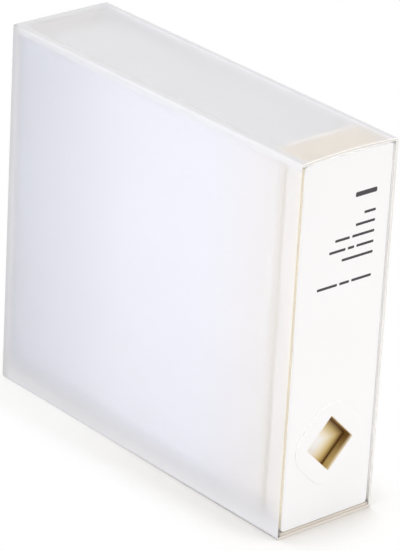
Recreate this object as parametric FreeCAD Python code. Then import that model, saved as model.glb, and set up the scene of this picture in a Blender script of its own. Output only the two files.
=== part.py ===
# A file for compact discs in a slipcase of folded translucent sheet.
# Millimetres. X is the width, Y the depth with the open front towards minus Y, and Z is up.
# The origin lies on the ground under the middle of the slipcase.

import FreeCAD
import Part

import math
import os

V = FreeCAD.Vector

# Slipcase, folded from one sheet
case_width = 49.5
case_height = 160.0
case_depth = 178.0
case_sheet = 1.2
fold_outer_radius = 1.2
fold_inner_radius = 0.4
top_crown = 0.9
lap_setback = 0.8
flap_length = 17.0
flap_taper = 5.0
flap_gap = 0.6
side_flap_width = 19.0

# How the file sits in the slipcase
side_clearance = 0.3
floor_clearance = 0.3
head_clearance = 0.6
rear_clearance = 0.5

# File cover: spine, side returns, hinge strips and boards, moulded in one
cover_wall = 1.2
spine_corner_radius = 2.2
crown_easing = 0.3
spine_edge_radius = 1.3
spine_inner_radius = 0.6
return_depth = 8.9
hinge_width = 4.7
hinge_web = 0.5
hinge_slope = 0.5
board_corner_radius = 4.0

# Finger pull: a square cup standing on its corner, with a flange
flange_thickness = 0.5
flange_side = 31.8
flange_corner_radius = 11.0
flange_edge_bevel = 0.2
recess_side = 17.0
recess_depth = 4.5
recess_draft = 0.4
recess_corner_radius = 0.5
cup_wall = 1.0
cup_height = 35.7
cup_clearance = 0.1
catch_length = 6.0
catch_depth = 1.6
catch_height = 0.6

# Leaves and their pockets, spaced evenly between the boards
leaf_count = 12
leaf_clearance = 0.32
board_clearance = 0.33
liner_sheet = 0.5
leaf_foot_gap = 3.6
leaf_head_gap = 4.9
leaf_rear_gap = 3.8
leaf_corner_radius = 4.0
film_sheet = 0.15
pocket_seam = 3.0
pocket_front_margin = 14.3
pocket_rear_margin = 8.0
pocket_foot_margin = 6.0
pocket_head_margin = 9.0
pocket_corner_radius = 3.0
thumb_notch_radius = 9.0

# Pleated binding strip
pleat_sheet = 0.4
pleat_end_margin = 3.5
pleat_setback = 6.0
pleat_depth = 14.5
end_leaf_setback = 2.2

# Places that follow from the sizes above
front = -case_depth / 2
back = case_depth / 2
case_inner_half = case_width / 2 - case_sheet
case_inner_back = back - case_sheet
floor_top = 2 * case_sheet
case_ceiling = case_height - case_sheet
file_half = case_inner_half - side_clearance
file_inner_half = file_half - cover_wall
file_foot = floor_top + floor_clearance
file_top = case_ceiling - head_clearance
spine_crown = top_crown - crown_easing
spine_front = front + flange_thickness
spine_back = spine_front + cover_wall
hinge_front = spine_front + return_depth
hinge_back = hinge_front + hinge_width
file_rear = case_inner_back - case_sheet - rear_clearance
leaf_bottom = file_foot + leaf_foot_gap
leaf_top = file_top - leaf_head_gap
leaf_rear = file_rear - leaf_rear_gap
leaf_pitch = 2 * (file_inner_half - board_clearance) / leaf_count
pleat_front = spine_front + pleat_setback
pleat_rear = pleat_front + pleat_depth
leaf_front = pleat_front + pleat_sheet
pocket_gap = (leaf_pitch - leaf_clearance - liner_sheet) / 2 - film_sheet
pocket_front = pleat_rear + pocket_front_margin
pocket_rear = leaf_rear - pocket_rear_margin
pocket_bottom = leaf_bottom + pocket_foot_margin
pocket_top = leaf_top - pocket_head_margin


def rounded_face(points, radii):
    """A flat face with straight sides and one radius for each corner."""
    edges = []
    count = len(points)
    ends = []
    for i, corner in enumerate(points):
        before = (points[i - 1] - corner).normalize()
        after = (points[(i + 1) % count] - corner).normalize()
        radius = radii[i]
        if radius <= 0:
            ends.append((corner, None, corner))
            continue
        half = before.getAngle(after) / 2
        reach = radius / math.tan(half)
        centre = corner + (before + after).normalize() * (radius / math.sin(half))
        middle = centre + (corner - centre).normalize() * radius
        ends.append((corner + before * reach, middle, corner + after * reach))
    for i, (start, middle, end) in enumerate(ends):
        if middle is not None:
            edges.append(Part.Arc(start, middle, end).toShape())
        following = ends[(i + 1) % count][0]
        if (following - end).Length > 1e-6:
            edges.append(Part.LineSegment(end, following).toShape())
    return Part.Face(Part.Wire(edges))


def across_y(x0, x1, z0, z1, y, radii):
    """An upright rectangle that faces along Y. The radii start at the lower left corner."""
    points = [V(x0, y, z0), V(x1, y, z0), V(x1, y, z1), V(x0, y, z1)]
    return rounded_face(points, radii)


def across_x(y0, y1, z0, z1, x, radii):
    """An upright rectangle that faces along X. The radii start at the lower front corner."""
    points = [V(x, y0, z0), V(x, y1, z0), V(x, y1, z1), V(x, y0, z1)]
    return rounded_face(points, radii)


def square_on_corner(side, radius, y):
    """A square that stands on its corner round the middle of the finger pull."""
    reach = side / math.sqrt(2)
    points = [
        V(0, y, cup_height - reach),
        V(reach, y, cup_height),
        V(0, y, cup_height + reach),
        V(-reach, y, cup_height),
    ]
    return rounded_face(points, [radius] * 4)


def save(name, shape):
    shape.exportStep(os.path.join("parts", name + ".step"))


def arch(half, level, rise, y):
    """A low arc across the width and the flat face between it and its chord."""
    left = V(-half, y, level)
    right = V(half, y, level)
    curve = Part.Arc(left, V(0, y, level + rise), right).toShape()
    return curve, Part.Face(Part.Wire([curve, Part.LineSegment(right, left).toShape()]))


def crown_cap(level, y0, y1):
    """The low arch of the top sheet: an arc at the front that dies out towards the back."""
    half = case_inner_half - fold_inner_radius
    left = V(-half, y0, level)
    right = V(half, y0, level)
    curve, end = arch(half, level, top_crown, y0)
    ridge = Part.LineSegment(V(-half, y1, level), V(half, y1, level)).toShape()
    sheet = Part.makeRuledSurface(curve, ridge)
    underside = Part.Face(Part.makePolygon([left, right, V(half, y1, level), V(-half, y1, level), left]))
    shell = Part.makeShell([sheet, end, underside])
    shell.sewShape()
    cap = Part.Solid(shell)
    cap.fix(1e-6, 1e-6, 1e-6)
    return cap


def case_outside():
    """The outer form: folded edges all round and the arched top."""
    half = case_width / 2
    block = across_y(-half, half, 0, case_height, front, [fold_outer_radius] * 4)
    block = block.extrude(V(0, case_depth, 0))
    rear_edges = [e for e in block.Edges if e.BoundBox.YMin > back - 1e-3]
    block = block.makeFillet(fold_outer_radius, rear_edges)
    return block.fuse(crown_cap(case_height, front, back - fold_outer_radius))


def case_inside():
    """The hollow that the file slides into, with the arch of the top sheet above it."""
    half = case_inner_half
    hollow = across_y(-half, half, case_sheet, case_ceiling, front, [fold_inner_radius] * 4)
    hollow = hollow.extrude(V(0, case_depth - case_sheet, 0))
    hollow = hollow.fuse(crown_cap(case_ceiling, front, case_inner_back))
    return hollow


def bottom_lap():
    """The second layer of the bottom, where the ends of the sheet overlap."""
    half = case_inner_half
    lap = across_y(-half, half, case_sheet, floor_top, front + lap_setback, [0] * 4)
    return lap.extrude(V(0, case_inner_back - front - lap_setback, 0))


def back_flaps():
    """Three tapered flaps folded behind the back panel, where the sheet is welded shut."""
    y = case_inner_back - case_sheet
    half = case_inner_half
    flaps = []
    for root, way in ((case_ceiling, -1), (floor_top, 1)):
        tip = root + way * flap_length
        points = [
            V(-half, y, root),
            V(half, y, root),
            V(half - flap_taper, y, tip),
            V(-half + flap_taper, y, tip),
        ]
        flaps.append(rounded_face(points, [0, 0, flap_taper / 2, flap_taper / 2]))
    low = floor_top + flap_length + flap_gap
    high = case_ceiling - flap_length - flap_gap
    points = [
        V(half, y, low),
        V(half, y, high),
        V(half - side_flap_width, y, high - flap_taper),
        V(half - side_flap_width, y, low + flap_taper),
    ]
    flaps.append(rounded_face(points, [0, 0, flap_taper / 2, flap_taper / 2]))
    return [flap.extrude(V(0, case_sheet, 0)) for flap in flaps]


def slipcase():
    case = case_outside().cut(case_inside())
    return case.fuse([bottom_lap()] + back_flaps()).removeSplitter()


def cover_plan():
    """The plan of the cover: a long U with a shallow groove outside each hinge."""
    groove_floor = file_inner_half + hinge_web
    right = [
        (file_half, spine_front, spine_edge_radius),
        (file_half, hinge_front, 0),
        (groove_floor, hinge_front + hinge_slope, 0),
        (groove_floor, hinge_back - hinge_slope, 0),
        (file_half, hinge_back, 0),
        (file_half, file_rear, 0),
        (file_inner_half, file_rear, 0),
        (file_inner_half, spine_back, spine_inner_radius),
    ]
    left = [(-x, y, radius) for x, y, radius in reversed(right)]
    corners = right + left
    points = [V(x, y, file_foot) for x, y, radius in corners]
    return rounded_face(points, [radius for x, y, radius in corners])


def spine_form():
    """The front view of the file: rounded corners and a slightly arched top, carried to the rear."""
    corner = spine_corner_radius
    form = across_y(-file_half, file_half, file_foot, file_top, spine_front, [corner] * 4)
    top = arch(file_half - corner, file_top, spine_crown, spine_front)[1]
    way = V(0, file_rear - spine_front, 0)
    return form.extrude(way).fuse(top.extrude(way))


def file_cover():
    height = file_top + spine_crown - file_foot
    cover = cover_plan().extrude(V(0, 0, height))
    cover = cover.common(spine_form())
    rear = board_corner_radius
    side_form = across_x(spine_front, file_rear, file_foot, file_top + spine_crown, -file_half, [0, rear, rear, 0])
    cover = cover.common(side_form.extrude(V(2 * file_half, 0, 0)))
    hole_side = recess_side + 2 * (cup_wall + cup_clearance)
    hole = square_on_corner(hole_side, recess_corner_radius + cup_wall, spine_front)
    return cover.cut(hole.extrude(V(0, cover_wall, 0)))


def cup_catches():
    """Four small wedges behind the spine that hold the finger pull in its hole."""
    root = (recess_side / 2 + cup_wall) - catch_height
    tip = (recess_side / 2 + cup_wall + cup_clearance) + catch_height
    y = spine_back
    points = [V(root, y, 0), V(tip, y, 0), V(root + catch_height, y + catch_depth, 0), V(root, y + catch_depth, 0)]
    wedge = Part.Face(Part.makePolygon(points + points[:1])).extrude(V(0, 0, catch_length))
    catches = []
    for quarter in range(4):
        catch = wedge.copy()
        catch.translate(V(0, 0, -catch_length / 2))
        catch.rotate(V(0, 0, 0), V(0, 1, 0), 45 + 90 * quarter)
        catch.translate(V(0, 0, cup_height))
        catches.append(catch)
    return catches


def finger_pull():
    flange = square_on_corner(flange_side, flange_corner_radius, front).extrude(V(0, flange_thickness, 0))
    front_edges = [e for e in flange.Edges if e.BoundBox.YMax < front + 1e-3]
    flange = flange.makeChamfer(flange_edge_bevel, front_edges)
    floor = front + recess_depth
    outer_radius = recess_corner_radius + cup_wall
    outer_side = recess_side + 2 * cup_wall
    mouth = square_on_corner(outer_side, outer_radius, front + flange_thickness / 2).OuterWire
    foot = square_on_corner(outer_side - 2 * recess_draft, outer_radius, floor + cup_wall).OuterWire
    cup = flange.fuse(Part.makeLoft([mouth, foot], True, True))
    cup = cup.fuse(cup_catches())
    opening = square_on_corner(recess_side, recess_corner_radius, front).OuterWire
    bed = square_on_corner(recess_side - 2 * recess_draft, recess_corner_radius, floor).OuterWire
    return cup.cut(Part.makeLoft([opening, bed], True, True)).removeSplitter()


def leaf_places():
    return [(i - (leaf_count - 1) / 2) * leaf_pitch for i in range(leaf_count)]


def pleat_side(legs, offset):
    """One side of the pleated sheet, seen from above: round ridges to the rear, square valleys in front."""
    edges = []
    start = V(legs[0] - offset, spine_front + end_leaf_setback, 0)
    for i in range(0, len(legs), 2):
        middle = (legs[i] + legs[i + 1]) / 2
        radius = (legs[i + 1] - legs[i]) / 2
        y = pleat_rear - pleat_sheet / 2 - radius
        bend = radius + offset
        edges.append(Part.LineSegment(start, V(middle - bend, y, 0)).toShape())
        ridge = Part.Arc(V(middle - bend, y, 0), V(middle, y + bend, 0), V(middle + bend, y, 0))
        edges.append(ridge.toShape())
        start = V(middle + bend, y, 0)
        if i + 2 < len(legs):
            floor = pleat_front + pleat_sheet / 2 + offset
            for corner in (V(legs[i + 1] + offset, floor, 0), V(legs[i + 2] - offset, floor, 0)):
                edges.append(Part.LineSegment(start, corner).toShape())
                start = corner
    finish = V(legs[-1] + offset, spine_front + end_leaf_setback, 0)
    edges.append(Part.LineSegment(start, finish).toShape())
    return edges


def binding_pleats():
    """One pleated sheet: every valley grips a leaf, and both ends are welded to the side returns."""
    end = file_inner_half - pleat_sheet / 2
    grip = (liner_sheet + pleat_sheet) / 2
    legs = [-end]
    for x in leaf_places():
        legs += [x - grip, x + grip]
    legs.append(end)
    sides = pleat_side(legs, pleat_sheet / 2) + pleat_side(legs, -pleat_sheet / 2)
    y = spine_front + end_leaf_setback
    caps = []
    for x in (-end, end):
        caps.append(Part.LineSegment(V(x - pleat_sheet / 2, y, 0), V(x + pleat_sheet / 2, y, 0)).toShape())
    bottom = leaf_bottom + pleat_end_margin
    top = leaf_top - pleat_end_margin
    pleats = Part.Face(Part.Wire(Part.__sortEdges__(sides + caps))).extrude(V(0, 0, top - bottom))
    pleats.translate(V(0, 0, bottom))
    return pleats


def leaf_liner(x):
    rear = leaf_corner_radius
    sheet = across_x(leaf_front, leaf_rear, leaf_bottom, leaf_top, x - liner_sheet / 2, [0, rear, rear, 0])
    return sheet.extrude(V(liner_sheet, 0, 0))


def pocket_film(x, way):
    """A clear film with a welded seam on three sides and a raised panel, open at the top."""
    face = x + way * liner_sheet / 2
    seam = pocket_seam
    wall = film_sheet

    def slab(inset, top, thickness, corner):
        form = across_x(
            pocket_front + inset,
            pocket_rear - inset,
            pocket_bottom + inset,
            top,
            face,
            [corner, corner, 0, 0],
        )
        return form.extrude(V(way * thickness, 0, 0))

    film = slab(0, pocket_top, wall, pocket_corner_radius)
    film = film.fuse(slab(seam, pocket_top, pocket_gap + wall, 0))
    film = film.cut(slab(seam + wall, pocket_top + wall, pocket_gap, 0))
    middle = (pocket_front + pocket_rear) / 2
    notch = Part.makeCylinder(
        thumb_notch_radius,
        2 * pocket_gap,
        V(face, middle, pocket_top),
        V(way, 0, 0),
    )
    return film.cut(notch).removeSplitter()


def main():
    os.makedirs("parts", exist_ok=True)
    save("slipcase", slipcase())
    save("file_cover", file_cover())
    save("finger_pull", finger_pull())
    save("binding_pleats", binding_pleats())
    for number, x in enumerate(leaf_places(), start=1):
        save("leaf_%02d_liner" % number, leaf_liner(x))
        save("leaf_%02d_left_pocket" % number, pocket_film(x, -1))
        save("leaf_%02d_right_pocket" % number, pocket_film(x, 1))


main()
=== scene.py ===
"""The looks of a disc file in a frosted slipcase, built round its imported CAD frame.

Everything is in metres. X is the width, Y the depth with the open front towards minus Y, and Z is up.
The panel in the sidebar lists one operator for each piece or group of pieces and one for the stage.
"""

import math

import bmesh
import bpy
from mathutils import Matrix, Vector


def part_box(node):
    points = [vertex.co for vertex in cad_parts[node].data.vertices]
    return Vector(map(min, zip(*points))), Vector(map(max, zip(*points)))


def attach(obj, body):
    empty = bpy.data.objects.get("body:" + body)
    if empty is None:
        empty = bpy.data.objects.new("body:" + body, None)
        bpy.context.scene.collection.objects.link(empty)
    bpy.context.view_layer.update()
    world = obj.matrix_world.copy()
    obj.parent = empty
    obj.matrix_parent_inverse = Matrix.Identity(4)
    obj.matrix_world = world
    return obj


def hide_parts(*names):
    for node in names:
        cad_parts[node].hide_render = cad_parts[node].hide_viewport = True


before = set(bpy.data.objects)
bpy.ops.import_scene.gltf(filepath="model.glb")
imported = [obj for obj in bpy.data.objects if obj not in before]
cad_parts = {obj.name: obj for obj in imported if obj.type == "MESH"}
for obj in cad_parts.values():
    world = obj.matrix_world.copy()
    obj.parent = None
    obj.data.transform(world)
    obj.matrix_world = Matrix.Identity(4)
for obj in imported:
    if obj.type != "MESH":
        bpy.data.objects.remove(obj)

bl_info = {
    "name": "Disc file in a slipcase",
    "version": (1, 0, 0),
    "blender": (4, 5, 0),
    "location": "3D View > Sidebar > Disc file",
    "description": "Builds the frosted slipcase, the cover, its finger pull and its leaves, and a stage",
    "category": "Object",
}

MM = 0.001

# Places closer together than this count as the same one
SAME = 1e-6
# How near a face or a corner has to lie to count as part of one sheet
NEARBY = 0.1 * MM

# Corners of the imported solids, which the pieces below are built to
CASE_LOW, CASE_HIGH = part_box("slipcase")
COVER_LOW, COVER_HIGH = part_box("file_cover")
PULL_LOW, PULL_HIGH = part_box("finger_pull")
LEAF_NODES = sorted(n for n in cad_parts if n.endswith("_liner"))
POCKET_NODES = sorted(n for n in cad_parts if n.endswith("_pocket"))

# Where the thin hinge strips of the cover start and end, along Y
HINGE_FRONT = -79.6 * MM
HINGE_BACK = -74.9 * MM

# How far from the long edges, the rear and the foot of the slipcase its sheet starts to turn dense, and how
# far from them it is fully so
EDGE_ZONE = (4 * MM, 2 * MM)
REAR_ZONE = (9 * MM, 1 * MM)
FOOT_ZONE = (16 * MM, 1 * MM)
# The same for the thin dark line of painted shade along a fold
FOLD_SHADE_LINE = (0.9 * MM, 0.4 * MM)
# How dense the sheet turns at its edges and at its foot, and how much less so at the foot of the right side
EDGE_DENSITY, FOOT_DENSITY, RIGHT_FOOT_EASE = 0.75, 0.9, 0.65

# The materials of the slipcase shell, in the order in which its operator adds them
OUTSIDE, INSIDE, LEVEL_RIM, SIDE_RIM = range(4)

# Steps in the rounding of a fold, of a soft lip, of a thin cut edge and of the corner of a ring
FOLD_STEPS, LIP_STEPS, EDGE_STEPS, RING_STEPS = 5, 4, 2, 8
# Strips across the arch of the top sheet and along its depth
ARCH_STRIPS, DEPTH_STRIPS = 14, 9
# Edges that turn by more than this many degrees stay sharp
SHARP_ANGLE = 32


def paint(red, green, blue):
    """A colour as a screen shows it, from 0 to 255, turned into the linear values that Blender mixes."""
    shares = (value / 255 for value in (red, green, blue))
    return tuple(s / 12.92 if s <= 0.04045 else ((s + 0.055) / 1.055) ** 2.4 for s in shares)


def times(shade, share):
    """A colour with each of its values multiplied by the same share."""
    return tuple(value * share for value in shade)


def length(name, description, millimetres):
    """A length that the user may change, given here in millimetres."""
    return bpy.props.FloatProperty(
        name=name,
        description=description,
        default=millimetres * MM,
        min=0,
        precision=5,
        subtype="DISTANCE",
        unit="LENGTH",
    )


def colour(name, description, default):
    """A colour that the user may change."""
    return bpy.props.FloatVectorProperty(
        name=name,
        description=description,
        default=default,
        size=3,
        min=0,
        max=1,
        subtype="COLOR",
    )


def power(name, description, watts):
    """The power of a lamp, which the user may change."""
    return bpy.props.FloatProperty(name=name, description=description, default=watts, min=0, unit="POWER")


class DiscFileSizes(bpy.types.PropertyGroup):
    """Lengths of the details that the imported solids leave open."""

    sheet: length("Sheet", "Thickness of the folded sheet", 1.2)
    crown: length("Crown", "How far the top sheet arches at its open edge", 0.9)
    fold: length("Outer fold", "Radius outside a fold of the sheet", 1.2)
    inner_fold: length("Inner fold", "Radius inside a fold of the sheet", 0.4)
    rim: length("Rim easing", "Rounding of the cut edges of the sheet", 0.14)
    lap_setback: length("Lap setback", "How far the second bottom layer stays behind the open edge", 0.35)
    lap_gap: length("Lap gap", "Air between two layers of sheet", 0.03)
    flap: length("Flap", "Length of the top and bottom flaps of the back", 17)
    flap_taper: length("Flap taper", "How much a flap narrows on each side", 5)
    flap_gap: length("Flap gap", "Space between two flaps", 0.6)
    side_flap: length("Side flap", "Length of the side flap of the back", 19)
    flange_side: length("Flange", "Side of the square flange of the finger pull", 31.8)
    flange_corner: length("Flange corner", "Radius of the corners of the flange", 11)
    flange_edge: length("Flange edge", "Rounding of the edge of the flange", 0.22)
    recess_side: length("Recess", "Side of the square recess", 17)
    recess_draft: length("Recess draft", "How far each recess wall leans in", 0.4)
    recess_corner: length("Recess corner", "Radius in the corners of the recess", 0.5)
    recess_depth: length("Recess depth", "Depth of the recess behind the flange", 4.5)
    recess_easing: length("Mouth easing", "Rounding of the mouth of the recess", 0.45)
    recess_fold: length("Recess fold", "Rounding where the walls of the recess meet its floor", 0.12)
    flange_sheet: length("Flange sheet", "Thickness of the flange", 0.5)
    cup_wall: length("Cup wall", "Thickness of the recess wall", 1)
    spine_wall: length("Spine wall", "Thickness of the spine, which the catches sit behind", 1.2)
    catch: length("Catch", "How far a catch stands out from the cup", 0.6)
    catch_gap: length("Catch gap", "Air round the cup in its hole", 0.1)
    catch_length: length("Catch length", "Length of a catch along its side of the cup", 6)
    catch_depth: length("Catch depth", "Depth of a catch behind the spine", 1.6)
    catch_edge: length("Catch edge", "Rounding of the edges of a catch", 0.1)
    cap_height: length("Cap height", "Height of the caps over the head and foot of the binding", 4)
    cap_gap: length("Cap gap", "Air between a cap and what it stands beside", 0.12)
    cap_overhang: length("Cap overhang", "How far a cap reaches behind the pleats", 1)
    cap_corner: length("Cap corner", "Rounding of the outer edges of a cap", 0.9)
    cap_sheet: length("Cap sheet", "Thickness of a cap", 0.4)
    ink: length("Ink", "How far the printed bars stand proud of the spine", 0.02)


class DiscFileColours(bpy.types.PropertyGroup):
    """Colours of the materials."""

    frost: colour("Frosted sheet", "The translucent sheet", paint(252, 252, 255))
    # Painted shade: the dense plastic beside the folds of the top, darker than the same plastic on the walls
    fold_top_shade: colour("Top fold", "The plastic beside the folds of the top sheet", paint(192, 192, 195))
    cut: colour("Cut edge", "The cut edge of the sheet", paint(255, 253, 250))
    # Painted shade: the cut edge at the foot, darker and warmer than the same edge above
    foot_cut_shade: colour("Lower cut edge", "The cut edge of the bottom sheet", paint(236, 229, 221))
    # Painted shade: the grey line along the middle of the upper cut edge, between its lighter rounded edges;
    # the side rims take it as the tone of their specks
    rim_shade_line: colour("Rim line", "The thin line along the cut edge of the sheet", paint(206, 203, 200))
    # Painted warm shade: the laps are the same sheet as the shell, tinted warmer
    lap: colour("Laps", "The second layer of sheet below and behind", paint(248, 240, 229))
    cream: colour("Spine", "The front of the moulded cover", paint(251, 251, 253))
    # Painted warm shade on the rounded edge of the spine
    cream_edge_shade: colour("Cover edge", "The rounded edge of the spine", paint(242, 229, 200))
    strip: colour("Side strip", "The cover between its spine and its hinges", paint(243, 236, 229))
    board: colour("Boards", "The middle of the boards", paint(241, 242, 252))
    # Painted shade: the boards turn darker towards their rear end
    board_end_shade: colour("Board ends", "The rear end of the boards", paint(206, 210, 224))
    # Painted shade in the hinge groove; the same colour also lends the whole cover its faint mottle
    groove: colour("Hinge groove", "The thinned strip of the hinge", paint(208, 196, 168))
    ivory: colour("Finger pull", "The flange of the finger pull", paint(250, 250, 251))
    # Painted shade in the recess, from its shallow side through its walls to its deep side
    ivory_painted_shade: colour("Recess rise", "The shallow side of the recess", paint(244, 232, 206))
    gold_shade: colour("Recess", "The walls of the recess", paint(216, 192, 128))
    brown_shade: colour("Recess shade", "The deep side of the recess", paint(140, 104, 52))
    # Painted shade: the dark line where the right-hand walls of the recess meet its floor
    recess_fold_shade: colour("Recess fold", "Where the walls of the recess meet its floor", paint(104, 70, 28))
    # Painted shade: the pleated strip is painted dark tan for the shade inside the file behind the spine,
    # which the caps share
    binding: colour("Binding", "The pleated strip", paint(170, 150, 106))
    liner: colour("Liner", "The white leaves", paint(240, 240, 240))
    film: colour("Film", "The clear pockets", paint(240, 245, 250))
    ink: colour("Ink", "The printed bars on the spine", paint(58, 56, 60))


class DiscFileStage(bpy.types.PropertyGroup):
    """Light and floor."""

    daylight: bpy.props.FloatProperty(
        name="Daylight", description="Strength of the even light from all round", default=0.65, min=0
    )
    front_lamp: power("Front lamp", "Power of the soft lamp in front of the spine", 2.75)
    side_lamp: power("Side lamp", "Power of the soft lamp beside the case", 0.4)
    top_lamp: power("Top lamp", "Power of the soft lamp above the case", 10.5)
    shadow_reach: length("Shadow reach", "How far from the object the floor turns white", 28)
    floor: colour("Floor", "The pale floor", paint(228, 226, 223))


class Wire:
    """One value in a material. Sums and products of wires and numbers add Math nodes."""

    def __init__(self, finish, socket):
        self.finish = finish
        self.socket = socket

    def maths(self, operation, *values):
        return self.finish.node("ShaderNodeMath", {"operation": operation}, dict(enumerate(values)))

    def __add__(self, other):
        return self.maths("ADD", self, other)

    __radd__ = __add__

    def __mul__(self, other):
        return self.maths("MULTIPLY", self, other)

    def __sub__(self, other):
        return self.maths("SUBTRACT", self, other)

    def __rsub__(self, other):
        return self.maths("SUBTRACT", other, self)

    def __abs__(self):
        return self.maths("ABSOLUTE", self)

    def sine(self):
        return self.maths("SINE", self)

    def at_least(self, other):
        return self.maths("MAXIMUM", self, other)

    def at_most(self, other):
        return self.maths("MINIMUM", self, other)

    def rise(self, start, end):
        """0 before start and 1 after end, with a soft step between them. End may lie below start."""
        sockets = {"Value": self, "From Min": start, "From Max": end}
        return self.finish.node("ShaderNodeMapRange", {"interpolation_type": "SMOOTHSTEP"}, sockets)


class Finish:
    """Builds the nodes of one material, or of the world."""

    def __init__(self, name, family="materials"):
        self.owner = getattr(bpy.data, family).new(name)
        self.owner.use_nodes = True
        self.output = "ShaderNodeOutputWorld" if family == "worlds" else "ShaderNodeOutputMaterial"
        self.tree = self.owner.node_tree
        self.tree.nodes.clear()

    def node(self, kind, settings=None, sockets=None, output=0):
        """Adds a node with its settings first, then the values and links of its sockets."""
        made = self.tree.nodes.new(kind)
        for name, value in (settings or {}).items():
            if name == "stops":
                self.stops(made.color_ramp, value)
            else:
                setattr(made, name, value)
        for name, value in (sockets or {}).items():
            if isinstance(value, Wire):
                self.tree.links.new(value.socket, made.inputs[name])
            else:
                made.inputs[name].default_value = value
        return Wire(self, made.outputs[output]) if made.outputs else made

    def stops(self, ramp, stops):
        """Sets the stops of a colour ramp, given as pairs of place and colour."""
        while len(ramp.elements) < len(stops):
            ramp.elements.new(1)
        for element, (place, shade) in zip(ramp.elements, stops):
            element.position = place
            element.color = (*shade, 1)

    def place(self):
        """Where a point of the piece lies, as a vector."""
        return self.node("ShaderNodeTexCoord", output="Object")

    def axes(self, place):
        """The X, Y and Z of a place, each as a wire."""
        split = self.node("ShaderNodeSeparateXYZ", sockets={0: place}).socket.node
        return [Wire(self, socket) for socket in split.outputs]

    def noise(self, place, scale, detail, stretch=(1, 1, 1)):
        """Cloudy noise from 0 to 1. Scale is cells per metre, and stretch multiplies it along each axis."""
        if stretch != (1, 1, 1):
            place = self.node("ShaderNodeMapping", sockets={"Vector": place, "Scale": stretch})
        return self.node("ShaderNodeTexNoise", sockets={"Vector": place, "Scale": scale, "Detail": detail})

    def blend(self, share, low, high):
        """The colour low where share is 0 and high where it is 1."""
        low, high = (c if isinstance(c, Wire) else (*c, 1) for c in (low, high))
        return self.node("ShaderNodeMix", {"data_type": "RGBA"}, {0: share, 6: low, 7: high}, output=2)

    def ramp(self, place, stops):
        """The colour at a place along a line. Stops are pairs of a place and a colour, in order."""
        start, end = stops[0][0], stops[-1][0]
        shares = [((spot - start) / (end - start), shade) for spot, shade in stops]
        along = (place - start) * (1 / (end - start))
        return self.node("ShaderNodeValToRGB", {"stops": shares}, {"Fac": along})

    def seen(self):
        """1 for what is seen straight, in a gloss or through a clear sheet, and 0 for what only lights."""
        kinds = ("Is Camera Ray", "Is Glossy Ray", "Is Transmission Ray")
        camera, gloss, through = (self.node("ShaderNodeLightPath", output=kind) for kind in kinds)
        return (camera + gloss + through).at_most(1)

    def bump(self, height, distance, strength=1.0):
        """A normal that follows a height from 0 to 1, over the given distance."""
        sockets = {"Height": height, "Distance": distance, "Strength": strength}
        return self.node("ShaderNodeBump", sockets=sockets)

    def mix(self, share, low, high):
        """The surface low where share is 0 and high where it is 1."""
        return self.node("ShaderNodeMixShader", sockets={0: share, 1: low, 2: high})

    def plastic(self, **sockets):
        """A principled surface, with its sockets named in words joined by underscores."""
        titles = {name: "IOR" if name == "ior" else name.replace("_", " ").title() for name in sockets}
        named = {titles[name]: value for name, value in sockets.items()}
        return self.node("ShaderNodeBsdfPrincipled", {"distribution": "MULTI_GGX"}, named)

    def shown(self, surface):
        """Ends the nodes with this surface and returns the material or the world."""
        self.node(self.output, sockets={"Surface": surface})
        return self.owner

    def moulded(self, **sockets):
        """A material that is one principled surface all over."""
        return self.shown(self.plastic(**sockets))


def frosted_sheet(sizes, colours, name, tint, clearness):
    """Frosted polypropylene: a milky see-through sheet that turns dense beside its folds and at its foot.
    The dense plastic carries painted shade: darker than the sheet, darker still on the top, darker again on
    the walls at the right and the rear, with a thin dark line along the folds at the right and the rear.
    """
    finish = Finish(name)
    place = finish.place()
    x, y, z = finish.axes(place)
    height = CASE_HIGH.z - sizes.crown
    from_side = CASE_HIGH.x - abs(x)
    from_level = (height - z).at_most(z)
    from_edge = from_side.at_least(from_level)
    from_rear = (CASE_HIGH.y - y).at_least(from_level.at_most(from_side))
    on_top = z.rise(height - 0.7 * MM, height)
    # Painted shade: the right-hand half and the rear of the sheet, where the dense plastic is painted darker
    # and the folds get their dark line
    shaded_side = x.rise(0, 20 * MM).at_least(y.rise(CASE_HIGH.y - 6 * MM, CASE_HIGH.y - 1 * MM))
    cloud = finish.noise(place, 14, detail=3)
    grain = finish.noise(place, 2600, detail=1)
    drawn = finish.noise(place, 260, detail=2, stretch=(1, 0.03, 1))
    rough = 0.44 + cloud * 0.06 + drawn * 0.03
    relief = finish.bump(grain * 0.6 + drawn * 0.4, 0.012 * MM, 0.6)
    milky = finish.blend(cloud * 0.25, tint, times(tint, 0.94))
    shared = {"roughness": rough, "ior": 1.2, "normal": relief}
    sheet = finish.plastic(base_color=milky, transmission_weight=clearness, **shared)
    # Painted shade: the dense plastic is darker than the sheet, darker still on the top, and darker again on
    # the walls at the right and the rear
    beside = times(tint, 0.78)
    dense = finish.blend(on_top, finish.blend(shaded_side, beside, times(beside, 0.82)), colours.fold_top_shade)
    # A thin dark line of painted shade along the folds at the right and the rear
    line = from_edge.at_most(from_rear).rise(*FOLD_SHADE_LINE)
    dense = finish.blend(line * shaded_side * 0.28, dense, (0, 0, 0))
    crease = finish.plastic(base_color=dense, **shared)
    at_edges = from_edge.rise(*EDGE_ZONE).at_least(from_rear.rise(*REAR_ZONE)) * EDGE_DENSITY
    at_foot = z.rise(*FOOT_ZONE) * (FOOT_DENSITY - x.rise(0, 10 * MM) * RIGHT_FOOT_EASE)
    return finish.shown(finish.mix(at_edges.at_least(at_foot), sheet, crease))


def sheet_inside(colours):
    """The smooth inner face of the sheet, which lets light through almost unbent."""
    finish = Finish("sheet_inside")
    place = finish.place()
    cloud = finish.noise(place, 14, detail=3)
    shade = finish.blend(cloud * 0.2, (1, 1, 1), colours.frost)
    return finish.moulded(base_color=shade, roughness=cloud * 0.1, ior=1.05, transmission_weight=1.0)


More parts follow.
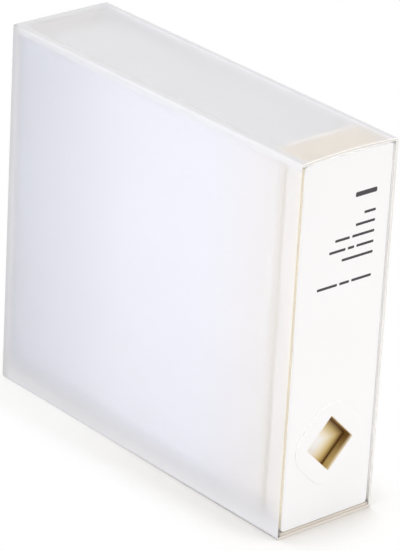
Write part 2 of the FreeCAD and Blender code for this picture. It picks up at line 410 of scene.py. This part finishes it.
def arch_half(sizes):
    """Half the width of the arch in the top sheet."""
    return CASE_HIGH.x - sizes.sheet - sizes.inner_fold


def cut_rim(sizes, colours):
    """The cut edge of the sheet above and below: white, with a thin grey line of painted shade along the
    middle of its upper part, and painted darker and warmer shade at its foot.
    """
    finish = Finish("cut_rim")
    place = finish.place()
    x, y, z = finish.axes(place)
    height = CASE_HIGH.z - sizes.crown
    upper, lower = z.rise(100 * MM, 150 * MM), z.rise(100 * MM, 50 * MM)
    arch = (1 - x * x * arch_half(sizes) ** -2).at_least(0) * sizes.crown * upper
    off_middle = abs(z - arch - height / 2) - (height - sizes.sheet) / 2
    # A thin grey line of painted shade along the middle of the upper cut edge
    line = abs(off_middle).rise(0.45 * MM, 0.1 * MM) * upper
    speck = finish.noise(place, 900, detail=2)
    # Towards the foot the cut edge turns to its painted shade
    cut = finish.blend(lower, colours.cut, colours.foot_cut_shade)
    shade = finish.blend(line * 0.6 + speck * 0.06, cut, colours.rim_shade_line)
    relief = finish.bump(speck, 0.02 * MM)
    return finish.moulded(base_color=shade, roughness=0.5 + speck * 0.1, ior=1.2, normal=relief)


def clear_rim(colours):
    """The cut edge of the sheet at the sides, clear at the left and milky at the right."""
    finish = Finish("clear_rim")
    place = finish.place()
    speck = finish.noise(place, 900, detail=2)
    shade = finish.blend(speck * 0.1, colours.cut, colours.rim_shade_line)
    rough = 0.12 + speck * 0.1
    clear = finish.plastic(base_color=shade, roughness=rough, ior=1.2, transmission_weight=0.8)
    milky = finish.plastic(base_color=shade, roughness=rough, ior=1.2)
    at_right = finish.axes(place)[0].rise(0, 1 * MM)
    return finish.shown(finish.mix(at_right * 0.75, clear, milky))


def cream_cover(colours):
    """Moulded polypropylene: cream at the spine, warmer beside it, cooler on the boards, with painted shade
    on the rounded edge of the spine, in the hinge groove and towards the rear end of the boards.
    """
    finish = Finish("cream_cover")
    place = finish.place()
    x, y, _ = finish.axes(place)
    grain = finish.noise(place, 3200, detail=1)
    cloud = finish.noise(place, 22, detail=3)
    shade = finish.ramp(
        y,
        (
            (COVER_LOW.y + 0.15 * MM, colours.cream),
            (COVER_LOW.y + 0.6 * MM, colours.cream_edge_shade),
            (COVER_LOW.y + 1.6 * MM, colours.cream_edge_shade),
            (COVER_LOW.y + 2.6 * MM, colours.strip),
            (HINGE_FRONT - 0.4 * MM, colours.strip),
            (HINGE_FRONT + 1.3 * MM, colours.groove),
            (HINGE_BACK - 0.5 * MM, colours.strip),
            (HINGE_BACK + 40 * MM, colours.board),
            (HINGE_BACK + 90 * MM, colours.board),
            (COVER_HIGH.y, colours.board_end_shade),
        ),
    )
    beside = abs(x).rise(COVER_HIGH.x - 1.6 * MM, COVER_HIGH.x - 1.1 * MM)
    shade = finish.blend(beside, colours.cream, shade)
    shade = finish.blend(cloud * 0.05, shade, colours.groove)
    return finish.moulded(
        base_color=shade,
        roughness=0.42 + grain * 0.12,
        ior=1.49,
        normal=finish.bump(grain, 0.01 * MM, 0.5),
    )


def ivory_pull(sizes, colours):
    """The finger pull: cream in front, with painted shade in the recess: warmer at its mouth, golden walls
    that turn brownish towards the upper right, a floor that turns from cream through golden to dark brownish
    towards its two right-hand walls, and a dark painted line where those walls meet the floor.
    """
    finish = Finish("ivory_pull")
    place = finish.place()
    x, y, z = finish.axes(place)
    grain = finish.noise(place, 3200, detail=1)
    rise = z - (PULL_LOW.z + PULL_HIGH.z) / 2
    half = sizes.recess_side / 2
    to_foot = (x - rise) * (math.sqrt(0.5) / half)
    to_head = (x + rise) * (math.sqrt(0.5) / half)
    bed = PULL_LOW.y + sizes.recess_depth
    shaded = to_foot.at_least(to_head)
    # Painted shade: the floor turns darker towards its two right-hand walls, and the walls towards the upper
    # right
    floor = finish.ramp(
        shaded,
        (
            (-0.1, colours.ivory),
            (0.25, colours.ivory_painted_shade),
            (0.62, colours.gold_shade),
            (0.9, colours.brown_shade),
            (1, colours.brown_shade),
        ),
    )
    walls = finish.blend(to_head.rise(-1, 1), colours.gold_shade, colours.brown_shade)
    # A dark line of painted shade where the right-hand walls meet the floor
    fold = shaded.rise(0.86, 0.94) * y.rise(bed - 0.9 * MM, bed - 0.15 * MM)
    shade = finish.blend(y.rise(bed - 0.25 * MM, bed - 0.05 * MM), walls, floor)
    shade = finish.blend(fold, shade, colours.recess_fold_shade)
    lip = finish.blend(y.rise(PULL_LOW.y, PULL_LOW.y + 0.4 * MM), colours.ivory, colours.ivory_painted_shade)
    shade = finish.blend(y.rise(PULL_LOW.y + 0.3 * MM, PULL_LOW.y + 1.9 * MM), lip, shade)
    sunk = abs(to_foot).at_least(abs(to_head)).rise(1.14, 1.06)
    shade = finish.blend(sunk, colours.ivory, shade)
    return finish.moulded(
        base_color=shade,
        roughness=0.36 + grain * 0.12,
        ior=1.49,
        normal=finish.bump(grain, 0.008 * MM, 0.5),
    )


def beige_binding(colours):
    """Thin pleated sheet with faint drawn lines and paler ridges, its tan colour painted dark for the shade
    inside the file behind the spine.
    """
    finish = Finish("beige_binding")
    place = finish.place()
    y = finish.axes(place)[1]
    drawn = finish.noise(place, 900, detail=2, stretch=(1, 1, 0.04))
    cloud = finish.noise(place, 30, detail=2)
    pale = y.rise(-70 * MM, -68.2 * MM)
    shade = finish.blend(cloud * 0.3, colours.binding, times(colours.binding, 0.88))
    shade = finish.blend(pale * 0.5, shade, colours.cream)
    return finish.moulded(
        base_color=shade,
        roughness=0.5 + drawn * 0.1,
        ior=1.49,
        normal=finish.bump(drawn, 0.02 * MM, 0.6),
    )


def white_liner(colours):
    """Embossed non-woven fleece: small pressed diamonds between loose fibres."""
    finish = Finish("white_liner")
    place = finish.place()
    _, y, z = finish.axes(place)
    turn = math.tau / (1.4 * MM)
    pressed = (((y + z) * turn).sine() * ((y - z) * turn).sine()).rise(0.25, 0.6)
    fibres = finish.noise(place, 1500, detail=3, stretch=(1, 1, 0.3))
    shade = finish.blend(fibres * 0.25 + pressed * 0.2, colours.liner, times(colours.liner, 0.82))
    return finish.moulded(
        base_color=shade,
        roughness=0.8 - pressed * 0.25,
        sheen_weight=0.15,
        normal=finish.bump(fibres * 0.35 - pressed * 0.65, 0.08 * MM, 0.7),
    )


def clear_film(colours):
    """Soft clear film with a pressed seam along its sides and its foot."""
    finish = Finish("clear_film")
    place = finish.place()
    _, y, z = finish.axes(place)
    low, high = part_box(POCKET_NODES[0])
    ripple = finish.noise(place, 60, detail=2)
    seam = (y - low.y).at_most(high.y - y).at_most(z - low.z).rise(2.4 * MM, 1.8 * MM)
    return finish.moulded(
        base_color=(*colours.film, 1),
        roughness=0.12 + ripple * 0.1 + seam * 0.25,
        ior=1.49,
        alpha=0.16 + ripple * 0.1 + seam * 0.3,
        normal=finish.bump(ripple - seam * 0.4, 0.3 * MM, 0.4),
    )


def spine_ink(colours):
    """Matt ink with slightly uneven cover."""
    finish = Finish("spine_ink")
    place = finish.place()
    mottle = finish.noise(place, 1800, detail=2)
    shade = finish.blend(mottle * 0.35, colours.ink, times(colours.ink, 2.2))
    return finish.moulded(base_color=shade, roughness=0.55 + mottle * 0.1, ior=1.49)


def add_box(bm, low, high):
    """Adds a box between two corners and returns its vertices."""
    low, high = Vector(low), Vector(high)
    shape = Matrix.Translation((low + high) / 2) @ Matrix.Diagonal((*(high - low), 1))
    return bmesh.ops.create_cube(bm, size=1, matrix=shape)["verts"]


def round_off(bm, parts, radius, steps, affect="EDGES"):
    """Rounds edges or the corners of a flat face, in this many steps."""
    bmesh.ops.bevel(
        bm,
        geom=list(parts),
        offset=radius,
        offset_type="OFFSET",
        segments=steps,
        profile=0.5,
        affect=affect,
        clamp_overlap=True,
        material=-1,
    )


def all_parts(bm):
    return bm.verts[:] + bm.edges[:] + bm.faces[:]


def edges_between(bm, verts):
    """The edges that join these vertices, always in the same order."""
    chosen = set(verts)
    return [e for e in bm.edges if chosen.issuperset(e.verts)]


def new_faces(bm, before):
    """The faces added since the set before was taken, always in the same order."""
    return [f for f in bm.faces if f not in before]


def finished(bm, name, body, material, replaced=()):
    """Makes the piece: its mesh, its material, what it rides on and the nodes it stands for."""
    mesh = bpy.data.meshes.new(name)
    bm.to_mesh(mesh)
    bm.free()
    mesh.shade_smooth()
    mesh.set_sharp_from_angle(angle=math.radians(SHARP_ANGLE))
    mesh.materials.append(material)
    piece = bpy.data.objects.new(name, mesh)
    bpy.context.scene.collection.objects.link(piece)
    weighted = piece.modifiers.new("Weighted normals", "WEIGHTED_NORMAL")
    weighted.keep_sharp = True
    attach(piece, body)
    if replaced:
        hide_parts(*replaced)
    return piece


def dress(nodes, material):
    """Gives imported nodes, whose shape is right, their material."""
    for name in nodes:
        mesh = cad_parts[name].data
        mesh.materials.clear()
        mesh.materials.append(material)


def slice_at(bm, axis, spots):
    """Cuts the whole mesh across an axis, 0 for X and 1 for Y, at each of these places."""
    for spot in spots:
        point, normal = Vector(), Vector()
        point[axis], normal[axis] = spot, 1
        bmesh.ops.bisect_plane(bm, geom=all_parts(bm), dist=SAME, plane_co=point, plane_no=normal)


def open_box(bm, low, high, radius):
    """Adds a box without its front face and with rounded folds."""
    before = set(bm.faces)
    verts = add_box(bm, low, high)
    front = [f for f in new_faces(bm, before) if f.normal.y < -0.5]
    bmesh.ops.delete(bm, geom=front, context="FACES_ONLY")
    round_off(bm, [e for e in edges_between(bm, verts) if not e.is_boundary], radius, FOLD_STEPS)


def raise_crown(bm, sizes):
    """Arches the top sheet: highest at the middle of the open edge, and level at its sides and its rear."""
    underside = CASE_HIGH.z - sizes.crown - sizes.sheet
    half = arch_half(sizes)
    reach = CASE_HIGH.y - sizes.fold - CASE_LOW.y
    for vert in bm.verts:
        if vert.co.z > underside - NEARBY and abs(vert.co.x) < half + SAME:
            across = 1 - (vert.co.x / half) ** 2
            along = max(0, 1 - (vert.co.y - CASE_LOW.y) / reach)
            vert.co.z += sizes.crown * across * along


def soften_rim(bm, sizes):
    """Rounds the cut edges round the opening and gives them and the strip before the lap their materials."""
    front, ceiling = CASE_LOW.y, CASE_HIGH.z - sizes.crown - sizes.sheet
    rim = [e for e in bm.edges if all(v.co.y < front + SAME for v in e.verts)]
    rim = [e for e in rim if any(f.normal.y > -0.5 for f in e.link_faces)]
    round_off(bm, rim, sizes.rim, EDGE_STEPS)
    for face in bm.faces:
        middle = face.calc_center_median()
        if middle.y < front + sizes.rim:
            level = middle.z < sizes.sheet or middle.z > ceiling
            face.material_index = LEVEL_RIM if level else SIDE_RIM
        elif middle.y < front + sizes.lap_setback and abs(middle.z - sizes.sheet) < NEARBY:
            face.material_index = LEVEL_RIM


def slipcase_shell(sizes):
    """The folded shell: an open box inside another, joined round the rim, with an arched top sheet."""
    bm = bmesh.new()
    sheet = sizes.sheet
    height = CASE_HIGH.z - sizes.crown
    inner_low = (CASE_LOW.x + sheet, CASE_LOW.y, sheet)
    inner_high = (CASE_HIGH.x - sheet, CASE_HIGH.y - sheet, height - sheet)
    open_box(bm, inner_low, inner_high, sizes.inner_fold)
    bmesh.ops.reverse_faces(bm, faces=bm.faces[:])
    for face in bm.faces:
        face.material_index = INSIDE
    open_box(bm, (CASE_LOW.x, CASE_LOW.y, 0), (CASE_HIGH.x, CASE_HIGH.y, height), sizes.fold)
    bmesh.ops.bridge_loops(bm, edges=[e for e in bm.edges if e.is_boundary])
    bmesh.ops.recalc_face_normals(bm, faces=bm.faces[:])
    half, depth = arch_half(sizes), CASE_HIGH.y - CASE_LOW.y
    slice_at(bm, 0, [half * (2 * i / ARCH_STRIPS - 1) for i in range(ARCH_STRIPS + 1)])
    slice_at(bm, 1, [CASE_LOW.y + depth * i / DEPTH_STRIPS for i in range(1, DEPTH_STRIPS)])
    slice_at(bm, 1, [CASE_LOW.y + sizes.lap_setback])
    raise_crown(bm, sizes)
    bm.normal_update()
    soften_rim(bm, sizes)
    return bm


def add_flap(bm, outline, thickness, rounding, easing):
    """Adds one flat flap from the four corners of its front face, of which the last two are rounded."""
    verts = [bm.verts.new(corner) for corner in outline]
    before = set(bm.faces)
    bm.faces.new(verts)
    round_off(bm, verts[2:], rounding, FOLD_STEPS, affect="VERTICES")
    solid = bmesh.ops.extrude_face_region(bm, geom=new_faces(bm, before))["geom"]
    moved = [v for v in solid if isinstance(v, bmesh.types.BMVert)]
    bmesh.ops.translate(bm, verts=moved, vec=(0, thickness, 0))
    faces = new_faces(bm, before)
    bmesh.ops.recalc_face_normals(bm, faces=faces)
    sides = {v for f in faces for v in f.verts}
    right_angles = [e for e in edges_between(bm, sides) if e.calc_face_angle(0) > 1]
    round_off(bm, right_angles, easing, EDGE_STEPS)


def slipcase_laps(sizes):
    """The second bottom layer and the three flaps folded behind the back panel."""
    bm = bmesh.new()
    sheet, gap = sizes.sheet, sizes.lap_gap
    half = CASE_HIGH.x - sheet - gap
    back = CASE_HIGH.y - sheet - gap
    floor, ceiling = 2 * sheet, CASE_HIGH.z - sizes.crown - sheet - gap
    lap = add_box(bm, (-half, CASE_LOW.y + sizes.lap_setback, sheet + gap), (half, back, floor))
    round_off(bm, edges_between(bm, lap), sizes.rim, EDGE_STEPS)
    taper = sizes.flap_taper
    outlines = []
    for root, tip in ((ceiling, ceiling - sizes.flap), (floor + gap, floor + gap + sizes.flap)):
        outlines.append(((-half, root), (half, root), (half - taper, tip), (taper - half, tip)))
    low = floor + sizes.flap + sizes.flap_gap
    high = ceiling - sizes.flap - sizes.flap_gap
    edge = half - sizes.side_flap
    outlines.append(((half, low), (half, high), (edge, high - taper), (edge, low + taper)))
    face = CASE_HIGH.y - 2 * sheet
    for outline in outlines:
        add_flap(bm, [(x, face, z) for x, z in outline], back - face, taper / 2, sizes.rim)
    return bm


def add_ring(bm, side, radius, y, middle):
    """Adds a ring of edges: a square standing on its corner, with rounded corners, facing the front."""
    made = bmesh.ops.create_grid(bm, x_segments=1, y_segments=1, size=side / 2)["verts"]
    known = set(bm.verts) - set(made)
    round_off(bm, made, radius, RING_STEPS, affect="VERTICES")
    ring = [v for v in bm.verts if v not in known]
    disc = [f for f in bm.faces if not known.intersection(f.verts) and set(ring).issuperset(f.verts)]
    bmesh.ops.delete(bm, geom=disc, context="FACES_ONLY")
    turn = Matrix.Rotation(math.radians(90), 4, "X") @ Matrix.Rotation(math.radians(45), 4, "Z")
    bmesh.ops.transform(bm, matrix=Matrix.Translation((0, y, middle)) @ turn, verts=ring)
    return edges_between(bm, ring)


def join_rings(bm, outer, inner):
    """Joins two rings of one plane, held apart meanwhile, because level rings can join with a twist."""
    verts = [v for v in bm.verts if not set(inner).isdisjoint(v.link_edges)]
    apart = Vector((0, 10 * MM, 0))
    bmesh.ops.translate(bm, verts=verts, vec=apart)
    bmesh.ops.bridge_loops(bm, edges=outer + inner)
    bmesh.ops.translate(bm, verts=verts, vec=-apart)


def carry_ring(bm, ring, depth, share, middle):
    """Extrudes a ring of edges to the rear, shrinks it to a share of its size and returns the new ring."""
    made = bmesh.ops.extrude_edge_only(bm, edges=ring)["geom"]
    verts = [v for v in made if isinstance(v, bmesh.types.BMVert)]
    bmesh.ops.translate(bm, verts=verts, vec=(0, depth, 0))
    centre = Matrix.Translation((0, 0, -middle))
    bmesh.ops.scale(bm, verts=verts, vec=(share, 1, share), space=centre)
    return [e for e in made if isinstance(e, bmesh.types.BMEdge)]


def add_catches(bm, sizes, middle):
    """Adds the four wedges that hold the cup in the hole of the spine."""
    root = sizes.recess_side / 2 + sizes.cup_wall - sizes.catch
    tip = root + 2 * sizes.catch + sizes.catch_gap
    start = COVER_LOW.y + sizes.spine_wall
    half = sizes.catch_length / 2
    for quarter in range(4):
        verts = add_box(bm, (root, start, -half), (tip, start + sizes.catch_depth, half))
        for vert in verts:
            if vert.co.x > root + SAME and vert.co.y > start + SAME:
                vert.co.x = root + sizes.catch
        turn = Matrix.Rotation(math.radians(45 + 90 * quarter), 4, "Y")
        bmesh.ops.transform(bm, matrix=Matrix.Translation((0, 0, middle)) @ turn, verts=verts)
        round_off(bm, edges_between(bm, verts), sizes.catch_edge, EDGE_STEPS)


def finger_pull(sizes):
    """Flange and cup in one: rings of edges, joined across the face and the seat and carried to the rear."""
    bm = bmesh.new()
    middle = (PULL_LOW.z + PULL_HIGH.z) / 2
    front = PULL_LOW.y
    seat = front + sizes.flange_sheet
    cup_side = sizes.recess_side + 2 * sizes.cup_wall
    draft = 2 * sizes.recess_draft
    mouth = add_ring(bm, sizes.recess_side, sizes.recess_corner, front, middle)
    face = add_ring(bm, sizes.flange_side, sizes.flange_corner, front, middle)
    join_rings(bm, face, mouth)
    foot = carry_ring(bm, face, sizes.flange_sheet, 1, middle)
    root = add_ring(bm, cup_side, sizes.recess_corner + sizes.cup_wall, seat, middle)
    join_rings(bm, foot, root)
    cup_depth = sizes.recess_depth + sizes.cup_wall - sizes.flange_sheet
    back = carry_ring(bm, root, cup_depth, 1 - draft / cup_side, middle)
    bed = carry_ring(bm, mouth, sizes.recess_depth, 1 - draft / sizes.recess_side, middle)
    for ring in (back, bed):
        bmesh.ops.edgeloop_fill(bm, edges=ring)
    bmesh.ops.recalc_face_normals(bm, faces=bm.faces[:])
    round_off(bm, face, sizes.flange_edge, LIP_STEPS)
    round_off(bm, mouth, sizes.recess_easing, LIP_STEPS)
    round_off(bm, bed, sizes.recess_fold, EDGE_STEPS)
    add_catches(bm, sizes, middle)
    return bm


def binding_caps(sizes):
    """Two shallow trays over the head and the foot of the pleats, resting on the edges of the leaves."""
    bm = bmesh.new()
    leaf_low, leaf_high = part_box(LEAF_NODES[0])
    pleat_low, pleat_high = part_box("binding_pleats")
    half = -pleat_low.x - sizes.cap_gap
    front = pleat_low.y + sizes.cap_gap
    back = pleat_high.y + sizes.cap_overhang
    for rest, way in ((leaf_high.z, 1), (leaf_low.z, -1)):
        near, far = rest + way * sizes.cap_gap, rest + way * sizes.cap_height
        before = set(bm.faces)
        verts = add_box(bm, (-half, front, min(near, far)), (half, back, max(near, far)))
        mouth = [f for f in new_faces(bm, before) if f.normal.z * way < -0.5]
        bmesh.ops.delete(bm, geom=mouth, context="FACES_ONLY")
        closed = [e for e in edges_between(bm, verts) if not e.is_boundary]
        round_off(bm, closed, sizes.cap_corner, FOLD_STEPS)
        tray = new_faces(bm, before)
        bmesh.ops.recalc_face_normals(bm, faces=tray)
        if sum(f.normal.z * way * f.calc_area() for f in tray) < 0:
            bmesh.ops.reverse_faces(bm, faces=tray)
        bmesh.ops.solidify(bm, geom=tray, thickness=sizes.cap_sheet)
    return bm


# Left and right end of each bar on the spine, and the height of its middle and its thickness, in millimetres
SPINE_BARS = (
    (4.5, 15.65, 140.6, 2.0),
    (9.75, 15.65, 132.2, 1.1),
    (5.65, 15.65, 127.8, 1.1),
    (-4.65, 2.9, 123.3, 1.1),
    (4.2, 15.65, 123.3, 1.1),
    (-7.35, 1.1, 118.8, 1.1),
    (2.3, 5.6, 118.8, 1.1),
    (6.8, 15.65, 118.8, 1.1),
    (-0.5, 15.65, 114.4, 1.1),
    (-12.5, -2.1, 104.5, 1.1),
    (-0.9, 4.2, 104.5, 1.1),
    (5.4, 15.65, 104.5, 1.1),
)
# The corners of a bar are rounded by this share of its thickness, in this many steps
BAR_ROUNDING, BAR_STEPS = 0.3, 3


def spine_bars(sizes):
    """The printed bars on the spine: short lines that end at the right, some of them broken into parts."""
    bm = bmesh.new()
    for left, right, level, thick in SPINE_BARS:
        low = (left * MM, COVER_LOW.y - sizes.ink, (level - thick / 2) * MM)
        high = (right * MM, COVER_LOW.y + sizes.ink, (level + thick / 2) * MM)
        verts = add_box(bm, low, high)
        ends = [e for e in edges_between(bm, verts) if abs(e.verts[0].co.y - e.verts[1].co.y) > sizes.ink]
        round_off(bm, ends, BAR_ROUNDING * thick * MM, BAR_STEPS)
    return bm


# The camera as it was solved from the corners of the box: its turn, rise and roll in degrees, its place
# in metres, and its lens and sensor in millimetres
CAMERA_ANGLES = (-41.64, 24.37, 3.17)
CAMERA_PLACE = (-0.88571, -1.00292, 0.68080)
CAMERA_LENS = 237.04
CAMERA_SENSOR = 36

# What the lamps aim at, and the place, the size and the colour of each
AIM = Vector((0, 0, 0.08))
LAMPS = {
    "front_lamp": ((0.5, -0.85, 0.6), 0.6, (1, 0.985, 0.98)),
    "side_lamp": ((-0.31, -0.07, 0.15), 0.12, (0.93, 0.95, 1)),
    "top_lamp": ((0.1, 0.2, 1.2), 0.9, (1, 0.99, 0.97)),
}

# Half the side of the floor, and how far it lies under the object
FLOOR_REACH = 6
FLOOR_DROP = 0.05 * MM


class DISCFILE_OT_stage(bpy.types.Operator):
    """Sets the camera, the lamps, the even light from all round and the pale floor"""

    bl_idname = "disc_file.stage"
    bl_label = "Stage"

    def execute(self, context):
        scene, stage = context.scene, context.scene.disc_file_stage
        self.camera(scene)
        self.daylight(scene, stage)
        self.lamps(scene, stage)
        self.floor(scene, stage)
        scene.view_settings.view_transform = "Standard"
        return {"FINISHED"}

    def camera(self, scene):
        """A long lens in front of the object, to the left of it and above it."""
        turn, rise, roll = (math.radians(angle) for angle in CAMERA_ANGLES)
        away = Vector((math.sin(turn) * math.cos(rise), -math.cos(turn) * math.cos(rise), math.sin(rise)))
        right = (-away).cross(Vector((0, 0, 1))).normalized()
        up = right.cross(-away)
        tilted_right = right * math.cos(roll) + up * math.sin(roll)
        tilted_up = up * math.cos(roll) - right * math.sin(roll)
        place = Matrix((tilted_right, tilted_up, away)).transposed().to_4x4()
        place.translation = CAMERA_PLACE
        lens = bpy.data.cameras.new("photo_camera")
        lens.lens = CAMERA_LENS
        lens.sensor_width = CAMERA_SENSOR
        lens.clip_start = 0.05
        lens.clip_end = 50
        camera = bpy.data.objects.new("photo_camera", lens)
        camera.matrix_world = place
        scene.collection.objects.link(camera)
        scene.camera = camera

    def daylight(self, scene, stage):
        """Even light from all round, which the camera sees as white."""
        sky = Finish("daylight", "worlds")
        lit, white = (
            sky.node("ShaderNodeBackground", sockets={"Color": (1, 1, 1, 1), "Strength": strength})
            for strength in (stage.daylight, 1)
        )
        scene.world = sky.shown(sky.mix(sky.seen(), lit, white))

    def lamps(self, scene, stage):
        """Three soft lamps: in front of the spine, beside the left wall and above the top."""
        for name, (place, size, tone) in LAMPS.items():
            data = bpy.data.lights.new(name, "AREA")
            data.energy = getattr(stage, name)
            data.size = size
            data.color = tone
            lamp = bpy.data.objects.new(name, data)
            lamp.location = place
            lamp.rotation_euler = (AIM - Vector(place)).to_track_quat("-Z", "Y").to_euler()
            scene.collection.objects.link(lamp)

    def floor(self, scene, stage):
        """A wide pale floor that reaches white where no shadow falls on it; towards the rear it is also
        painted paler over the shadow, which is painted light.
        """
        bm = bmesh.new()
        bmesh.ops.create_grid(bm, x_segments=1, y_segments=1, size=FLOOR_REACH)
        mesh = bpy.data.meshes.new("floor")
        bm.to_mesh(mesh)
        bm.free()
        mesh.transform(Matrix.Translation((0, 0, -FLOOR_DROP)))
        floor = bpy.data.objects.new("floor", mesh)
        scene.collection.objects.link(floor)
        finish = Finish("floor_paper")
        place = finish.place()
        mottle = finish.noise(place, 40, detail=2)
        shade = finish.blend(mottle * 0.1, stage.floor, times(stage.floor, 0.97))
        matt = finish.node("ShaderNodeBsdfDiffuse", sockets={"Color": shade})
        white = finish.node("ShaderNodeEmission", sockets={"Color": (1, 1, 1, 1)})
        reach = {"Distance": stage.shadow_reach}
        free = finish.node("ShaderNodeAmbientOcclusion", {"samples": 16}, reach, output="AO")
        # Painted light: towards the rear the floor turns mostly white over the object's shadow
        behind = finish.axes(place)[1].rise(-60 * MM, 60 * MM)
        share = finish.seen() * free.rise(0.58, 1).at_least(behind * 0.7)
        mesh.materials.append(finish.shown(finish.mix(share, matt, white)))


class DISCFILE_OT_slipcase(bpy.types.Operator):
    """Builds the frosted slipcase with its laps and back flaps"""

    bl_idname = "disc_file.slipcase"
    bl_label = "Slipcase"

    def execute(self, context):
        sizes, colours = context.scene.disc_file_sizes, context.scene.disc_file_colours
        outside = frosted_sheet(sizes, colours, "frosted_sheet", colours.frost, 0.6)
        slot, replaced = "frosted_sheet", ["slipcase"]
        shell = finished(slipcase_shell(sizes), "slipcase_shell", "case", outside, replaced)
        for material in (sheet_inside(colours), cut_rim(sizes, colours), clear_rim(colours)):
            shell.data.materials.append(material)
        # The laps take a warmer tint than the shell, which is painted warm shade
        double = frosted_sheet(sizes, colours, "frosted_laps", colours.lap, 0.15)
        finished(slipcase_laps(sizes), "slipcase_laps", "case", double, replaced)
        return {"FINISHED"}


class DISCFILE_OT_cover(bpy.types.Operator):
    """Dresses the cover and prints the bars on its spine"""

    bl_idname = "disc_file.cover"
    bl_label = "Cover"

    def execute(self, context):
        sizes, colours = context.scene.disc_file_sizes, context.scene.disc_file_colours
        dress(["file_cover"], cream_cover(colours))
        finished(spine_bars(sizes), "spine_bars", "file", spine_ink(colours))
        return {"FINISHED"}


class DISCFILE_OT_finger_pull(bpy.types.Operator):
    """Builds the finger pull with its soft edges"""

    bl_idname = "disc_file.finger_pull"
    bl_label = "Finger pull"

    def execute(self, context):
        sizes, colours = context.scene.disc_file_sizes, context.scene.disc_file_colours
        material = ivory_pull(sizes, colours)
        finished(finger_pull(sizes), "finger_pull_soft", "file", material, ["finger_pull"])
        return {"FINISHED"}


class DISCFILE_OT_leaves(bpy.types.Operator):
    """Dresses the pleated binding, the leaves and their clear pockets"""

    bl_idname = "disc_file.leaves"
    bl_label = "Binding and leaves"

    def execute(self, context):
        sizes, colours = context.scene.disc_file_sizes, context.scene.disc_file_colours
        binding = beige_binding(colours)
        dress(["binding_pleats"], binding)
        # The caps share the painted dark tan shade of the binding, over the head and the foot of the pleats
        finished(binding_caps(sizes), "binding_caps", "file", binding)
        dress(LEAF_NODES, white_liner(colours))
        dress(POCKET_NODES, clear_film(colours))
        return {"FINISHED"}


class DISCFILE_PT_panel(bpy.types.Panel):
    """Lists the pieces and the sizes and colours they are built with"""

    bl_label = "Disc file"
    bl_space_type = "VIEW_3D"
    bl_region_type = "UI"
    bl_category = "Disc file"

    def draw(self, context):
        for operator in OPERATORS:
            self.layout.operator(operator.bl_idname)
        for group in (getattr(context.scene, name) for name in GROUPS):
            box = self.layout.box()
            for name in group.bl_rna.properties.keys():
                if name not in {"rna_type", "name"}:
                    box.prop(group, name)


GROUPS = {
    "disc_file_sizes": DiscFileSizes,
    "disc_file_colours": DiscFileColours,
    "disc_file_stage": DiscFileStage,
}
OPERATORS = (
    DISCFILE_OT_stage,
    DISCFILE_OT_slipcase,
    DISCFILE_OT_cover,
    DISCFILE_OT_finger_pull,
    DISCFILE_OT_leaves,
)
CLASSES = (*GROUPS.values(), *OPERATORS, DISCFILE_PT_panel)


def register():
    for cls in CLASSES:
        bpy.utils.register_class(cls)
    for name, group in GROUPS.items():
        setattr(bpy.types.Scene, name, bpy.props.PointerProperty(type=group))


def unregister():
    for name in GROUPS:
        delattr(bpy.types.Scene, name)
    for cls in reversed(CLASSES):
        bpy.utils.unregister_class(cls)


def main():
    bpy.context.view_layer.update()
    register()
    bpy.ops.disc_file.stage()
    bpy.ops.disc_file.slipcase()
    bpy.ops.disc_file.cover()
    bpy.ops.disc_file.finger_pull()
    bpy.ops.disc_file.leaves()


if __name__ == "__main__":
    main()
